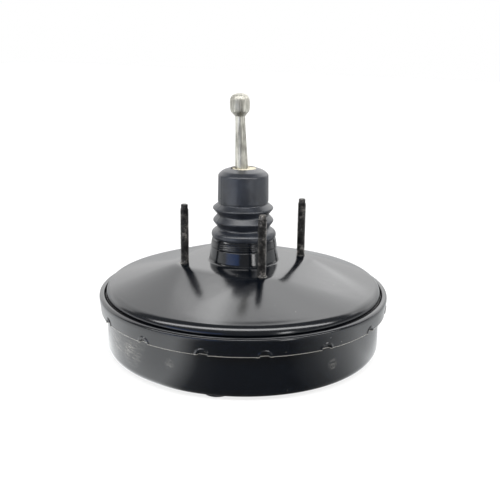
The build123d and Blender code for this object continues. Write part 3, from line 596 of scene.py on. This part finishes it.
def rolled_thread(mesh, bottom, top, steps=20):
    """One thread profile spun up the shank: a real helix of rolled thread."""
    turns = int((top - bottom) / THREAD_PITCH)
    root = THREAD_R - THREAD_DEPTH
    profile = [(THREAD_R, 0.0), (THREAD_R, 0.16), (root, 0.5), (root, 0.66), (THREAD_R, 1.0)]
    points = [mesh.verts.new((r * MM, 0, (bottom + share * THREAD_PITCH) * MM)) for r, share in profile]
    sides = [mesh.edges.new(pair) for pair in zip(points, points[1:])]
    bmesh.ops.spin(
        mesh,
        geom=points + sides,
        cent=(0, 0, 0),
        axis=(0, 0, 1),
        dvec=(0, 0, THREAD_PITCH * MM / steps),
        angle=tau * turns,
        steps=steps * turns,
        use_merge=False,
    )


def set_studs(section, thread_from, thread_to, places):
    """Turned studs with rolled threads at their places: the first is the blank, the others its copies."""
    mesh = turn(half_section(section), steps=32)
    rolled_thread(mesh, thread_from, thread_to)
    bmesh.ops.remove_doubles(mesh, verts=mesh.verts, dist=0.01 * MM)
    blank = mesh.verts[:] + mesh.edges[:] + mesh.faces[:]
    moves = [(blank, places[0])]
    for place in places[1:]:
        moves.append((bmesh.ops.duplicate(mesh, geom=blank)["geom"], place))
    for geometry, (x, y) in moves:
        corners = [item for item in geometry if isinstance(item, bmesh.types.BMVert)]
        bmesh.ops.translate(mesh, verts=corners, vec=(x * MM, y * MM, 0))
    return mesh


def wall_studs():
    """Four bulkhead studs: swaged collar painted pale as a highlight, rolled thread and a plain pilot point.
    """
    section = [
        (0.0, -7.0),
        (6.2, -7.0),
        (7.0, -6.2),
        (7.0, -4.2),
        (4.4, -4.2),
        (4.4, -1.6),
        (6.4, -1.6),
        (6.4, 0.8, 0.6),
        (4.9, 1.5, 0.4),
        (THREAD_R, 1.6),
        (THREAD_CORE_R, 2.6),
        (THREAD_CORE_R, 53.0),
        (3.2, 53.8),
        (3.2, 57.0, 0.3),
        (2.6, 57.6, 0.2),
        (0.0, 57.6),
    ]
    places = [(x * STUD_X, y * STUD_Y) for x in (-1, 1) for y in (-1, 1)]
    mesh = set_studs(section, 2.4, 53.2, places)
    make_piece("wall_studs", mesh, "shell", stud_steel, ["bulkhead_studs"])


def cylinder_studs():
    """Two master cylinder studs, zinc plated, with rolled threads."""
    section = [
        (0.0, -53.5),
        (6.2, -53.5),
        (7.0, -54.3),
        (7.0, -56.2),
        (4.4, -56.2),
        (4.4, -RECESS_DROP),
        (THREAD_R, -RECESS_DROP),
        (THREAD_CORE_R, -61.8),
        (THREAD_CORE_R, -80.2),
        (3.0, -81.5),
        (0.0, -81.5),
    ]
    mesh = set_studs(section, -80.6, -61.6, [(x * CYLINDER_STUD_X, 0) for x in (-1, 1)])
    make_piece("cylinder_studs", mesh, "shell", zinc_steel, ["mc_studs"])


# Boot, rod, felt and grommet
def pleated_boot():
    """Moulded boot: open mouth, plain cap, two pleats and the cuff that snaps over the neck."""
    outside = [
        (11.6, 88.2, 0.5),
        (12.0, 89.6, 0.9),
        (19.6, 86.9, 1.2),
        (23.5, 83.4, 1.1),
        (23.9, 58.4, 1.0),
        (23.2, 56.6, 0.8),
        (29.0, 52.0, 1.4),
        (24.0, 45.8, 1.2),
        (29.0, 40.2, 1.4),
        (24.2, 33.7, 1.2),
        (25.6, 32.2, 0.8),
        (29.3, 30.2, 1.5),
        (30.5, 28.0, 1.2),
        (30.5, 25.2, 1.0),
        (29.4, 23.6, 0.6),
        (28.4, 23.6, 0.3),
    ]
    inside = [
        (28.4, 27.8),
        (24.4, 29.6),
        (22.4, 33.7),
        (26.8, 40.2, 0.8),
        (22.3, 45.8, 0.8),
        (26.8, 52.0, 0.8),
        (20.4, 57.2, 0.8),
        (20.4, 85.0, 0.8),
    ]
    mesh = turn(half_section(outside + inside, closed=True), steps=192)
    for vertex in mesh.verts:
        x, y, z = vertex.co
        r = hypot(x, y)
        # Mould line up both sides
        off = (atan2(y, x) - radians(MOULD_LINE_TURN)) % pi
        off = min(off, pi - off) * r / MM
        lift = max(0.0, 1 - off / MOULD_LINE_HALF) * MOULD_LINE_RISE * MM if r > BOOT_SKIN_R * MM else 0.0
        # The slight lean that the rod gives the boot
        drift = BOOT_DRIFT * MM * min(1.0, max(0.0, (z / MM - DRIFT_FROM) / DRIFT_OVER))
        vertex.co.x = x / r * (r + lift) + DRIFT_WAY[0] * drift
        vertex.co.y = y / r * (r + lift) + DRIFT_WAY[1] * drift
    piece = make_piece("pleated_boot", mesh, None, rubber, ["dust_boot"], crease=40)
    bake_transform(piece)


def push_rod():
    """Turned push rod: pivot ball, neck, shank, collar, long taper and barrel-shaped ball head."""
    above_pivot = [
        (0.0, -5.0),
        (2.6, -4.3),
        (4.4, -2.3),
        (5.0, 0.0),
        (4.4, 2.3),
        (3.2, 3.9, 0.4),
        (3.2, 15.0, 1.0),
        (6.0, 20.0, 1.0),
        (6.0, 46.0),
        (8.0, 46.0, 0.3),
        (8.0, 48.0, 0.3),
        (6.0, 48.0),
        (6.0, 81.0, 6.0),
        (4.6, 116.0, 5.0),
        (4.6, 125.8, 0.6),
        (6.2, 127.6, 0.8),
        (8.6, 130.4, 1.2),
        (9.25, 134.0, 1.5),
        (9.25, 137.8, 1.5),
        (8.9, 142.2, 1.4),
        (6.8, 145.2, 1.0),
        (3.2, 146.6, 0.8),
        (0.0, 146.6),
    ]
    section = [(r, PIVOT_Z + height, *rounding) for r, height, *rounding in above_pivot]
    mesh = turn(half_section(section), steps=96)
    leaning = Matrix.Rotation(radians(-ROD_LEAN), 3, "Y")
    bmesh.ops.rotate(mesh, verts=mesh.verts, cent=(0, 0, PIVOT_Z * MM), matrix=leaning)
    make_piece("push_rod", mesh, "rod", zinc_steel, ["input_rod"])


def felt_filter():
    """Felt ring in the tail's mouth, gripping the rod and standing up a little into the boot's mouth."""
    section = [
        (6.3, 69.0),
        (16.5, 69.0),
        (16.5, 80.0),
        (11.4, 80.0),
        (11.4, 88.8, 0.8),
        (9.0, 89.3, 0.6),
        (6.3, 88.9),
    ]
    mesh = turn(half_section(section, closed=True), steps=96)
    for vertex in mesh.verts:
        x, y, z = vertex.co
        if z > FELT_TOP_FROM * MM:
            uneven = sum(sin(atan2(y, x) * waves + phase) * high for waves, phase, high in FELT_WAVES)
            vertex.co.z = z + uneven * MM
        if hypot(x, y) < FELT_GRIP_R * MM:
            vertex.co.x -= (z - PIVOT_Z * MM) * sin(radians(ROD_LEAN))
    make_piece("felt_filter", mesh, "piston", felt, ["air_filter"])


def port_grommet():
    """Rubber grommet of the vacuum port, snapped into the base."""
    section = [
        (6.5, -86.2, 0.4),
        (13.0, -86.2, 1.6),
        (13.0, -83.1, 0.3),
        (9.4, -83.1, 0.2),
        (9.4, -81.3, 0.2),
        (12.0, -81.3, 0.4),
        (9.5, -77.4, 0.8),
        (6.5, -77.4, 0.3),
    ]
    mesh = turn(half_section(section, closed=True), steps=64)
    x, y = PORT_RING_R * cos(radians(PORT_TURN)), PORT_RING_R * sin(radians(PORT_TURN))
    bmesh.ops.translate(mesh, verts=mesh.verts, vec=(x * MM, y * MM, 0))
    make_piece("port_grommet", mesh, "shell", rubber, ["vacuum_grommet"])


# Hidden pieces
def springy_copy(name, node, material):
    """A hidden piece from its solid's own mesh, baked in place with no body of its own."""
    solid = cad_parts[node]
    mesh = bmesh.new()
    mesh.from_mesh(solid.data)
    bmesh.ops.transform(mesh, matrix=solid.matrix_world, verts=mesh.verts)
    piece = make_piece(name, mesh, None, material, [node])
    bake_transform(piece)


def finish_hidden(finish, *nodes):
    """Gives hidden pieces, which keep their solids, their own finish."""
    for node in nodes:
        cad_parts[node].data.materials.clear()
        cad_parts[node].data.materials.append(finish)


# Studio
def dark_room():
    """Surroundings as the black enamel mirrors them: a bright ceiling strip towards the camera, a dim gap
    straight above, a bright wall and windows behind the booster, pale flanks and a dark room in front."""
    world = bpy.data.worlds.new("dark_room")
    bpy.context.scene.world = world
    world.use_nodes = True
    tree = world.node_tree
    tree.nodes.clear()
    way = add_node(tree, "ShaderNodeTexCoord").outputs["Generated"]
    away = measure(tree, "DOT_PRODUCT", way, (-VIEW[0], -VIEW[1], 0.0))
    across = measure(tree, "DOT_PRODUCT", way, (-VIEW[1], VIEW[0], 0.0))
    height = height_of(tree, way)
    # Angle over the top, from the horizon behind the booster (0) to the camera's (1)
    share = calc(tree, "MULTIPLY", calc(tree, "ARCTAN2", height, away), 1 / pi)
    right, left = levels(tree, share, RIGHT_ARC), levels(tree, share, LEFT_ARC)
    arc = blend_of(tree, edge(tree, across, -0.1, -0.2), right, left)
    # Pale flanks behind, and dark straight out to both sides
    sideways = calc(tree, "ABSOLUTE", across)
    flank = calc(tree, "MULTIPLY", edge(tree, away, 0.2, 0.4), edge(tree, sideways, 0.55, 0.85))
    total = blend_of(tree, flank, arc, FLANK_LEVEL)
    total = blend_of(tree, edge(tree, sideways, 0.88, 0.95), total, SIDE_LEVEL)
    # Windows behind, by bearing from straight behind and by height
    bearing = calc(tree, "ARCTAN2", across, away)
    raised = calc(tree, "ARCSINE", height)
    for level, bearings, heights, soft in WINDOWS:
        for value, (start, end) in ((bearing, bearings), (raised, heights)):
            opened = edge(tree, value, radians(start - soft), radians(start + soft))
            closed = edge(tree, value, radians(end + soft), radians(end - soft))
            level = calc(tree, "MULTIPLY", calc(tree, "MULTIPLY", level, opened), closed)
        total = calc(tree, "ADD", total, level)
    to_camera = add_node(tree, "ShaderNodeLightPath").outputs["Is Camera Ray"]
    strength = blend_of(tree, to_camera, total, 1.0)
    background = add_node(tree, "ShaderNodeBackground", {"Color": (1, 1, 1, 1), "Strength": strength})
    add_node(tree, "ShaderNodeOutputWorld", {"Surface": background.outputs[0]})


def floor_material():
    """Studio floor, white to the camera with a faint shadow; the enamel sees it dark in front, where the
    photographer's shadow lies, and pale to both sides."""
    made = bpy.data.materials.new("studio_floor")
    made.use_nodes = True
    tree = made.node_tree
    tree.nodes.clear()
    place = add_node(tree, "ShaderNodeTexCoord").outputs["Object"]
    front = measure(tree, "DOT_PRODUCT", place, (*VIEW, 0.0))
    across = measure(tree, "DOT_PRODUCT", place, (-VIEW[1], VIEW[0], 0.0))
    factor = spread(tree, calc(tree, "ARCTAN2", across, front), -pi, pi)
    brightness = levels(tree, factor, FLOOR_LEVELS)
    mirrored = add_node(tree, "ShaderNodeEmission", {"Color": FLOOR_TINT, "Strength": brightness}).outputs[0]
    matt = add_node(tree, "ShaderNodeBsdfDiffuse", {"Color": hex_colour("#ffffff")}).outputs[0]
    glow = add_node(tree, "ShaderNodeEmission", {"Color": (1, 1, 1, 1), "Strength": 1.0}).outputs[0]
    path = add_node(tree, "ShaderNodeLightPath").outputs
    seen = add_node(tree, "ShaderNodeMixShader", {0: FLOOR_GLOW, 1: matt, 2: glow}).outputs[0]
    rest = add_node(tree, "ShaderNodeMixShader", {0: path["Is Glossy Ray"], 1: matt, 2: mirrored}).outputs[0]
    both = add_node(tree, "ShaderNodeMixShader", {0: path["Is Camera Ray"], 1: rest, 2: seen}).outputs[0]
    add_node(tree, "ShaderNodeOutputMaterial", {"Surface": both})
    return made


def white_floor():
    """Plain floor that the booster stands on."""
    mesh = bmesh.new()
    bmesh.ops.create_grid(mesh, x_segments=1, y_segments=1, size=FLOOR_HALF)
    bmesh.ops.translate(mesh, verts=mesh.verts, vec=(0, 0, FLOOR_Z))
    data = bpy.data.meshes.new("floor")
    mesh.to_mesh(data)
    mesh.free()
    data.materials.append(floor_material())
    floor = bpy.data.objects.new("floor", data)
    bpy.context.scene.collection.objects.link(floor)


def lamp(name, turn_angle, elevation, size, radiance, colour="#ffffff", distance=1.6):
    """A soft rectangular light in a direction from the booster, facing it; radiance in scene units."""
    data = bpy.data.lights.new(name, "AREA")
    data.shape = "RECTANGLE"
    data.size, data.size_y = size
    data.color = hex_colour(colour)[:3]
    data.energy = radiance * pi * size[0] * size[1]
    made = bpy.data.objects.new(name, data)
    bearing, raised = radians(turn_angle), radians(elevation)
    way = Vector((cos(raised) * cos(bearing), cos(raised) * sin(bearing), sin(raised)))
    made.matrix_world = Matrix.Translation(way * distance) @ way.to_track_quat("Z", "Y").to_matrix().to_4x4()
    made.visible_camera = False
    bpy.context.scene.collection.objects.link(made)


photo_camera()

enamel = stoved_enamel()
rubber = moulded_rubber()
zinc_steel = turned_zinc_steel()
stud_steel = phosphated_stud_steel()
felt = filter_felt()
sheet_steel = plain_pressed_steel()
spring_wire = drawn_spring_wire()
phenolic = phenolic_moulding()

rear_pressing()
clamping_rim()
front_drum()
wall_studs()
cylinder_studs()
pleated_boot()
push_rod()
felt_filter()
port_grommet()
springy_copy("main_spring", "return_spring", spring_wire)
springy_copy("push_rod_spring", "rod_spring", spring_wire)
springy_copy("rubber_disc", "reaction_disc", rubber)

finish_hidden(sheet_steel, "stud_plate", "mc_plate", "diaphragm_plate", "lock_ring", "spring_cup")
finish_hidden(sheet_steel, "output_retainer", "stop_key", "poppet_retainer")
finish_hidden(zinc_steel, "output_rod", "adjusting_screw", "valve_plunger")
finish_hidden(spring_wire, "poppet_spring")
finish_hidden(rubber, "diaphragm", "front_seal", "neck_seal", "poppet_valve")
finish_hidden(phenolic, "valve_body", "neck_bush")
finish_hidden(felt, "silencer")

dark_room()
white_floor()
lamp("window_strip", -28.5, 4, (0.26, 0.3), 8.0)
lamp("blue_window", -98, 2.4, (1.3, 0.16), 1.6, "#4d92ff")

bpy.context.scene.view_settings.view_transform = "Standard"
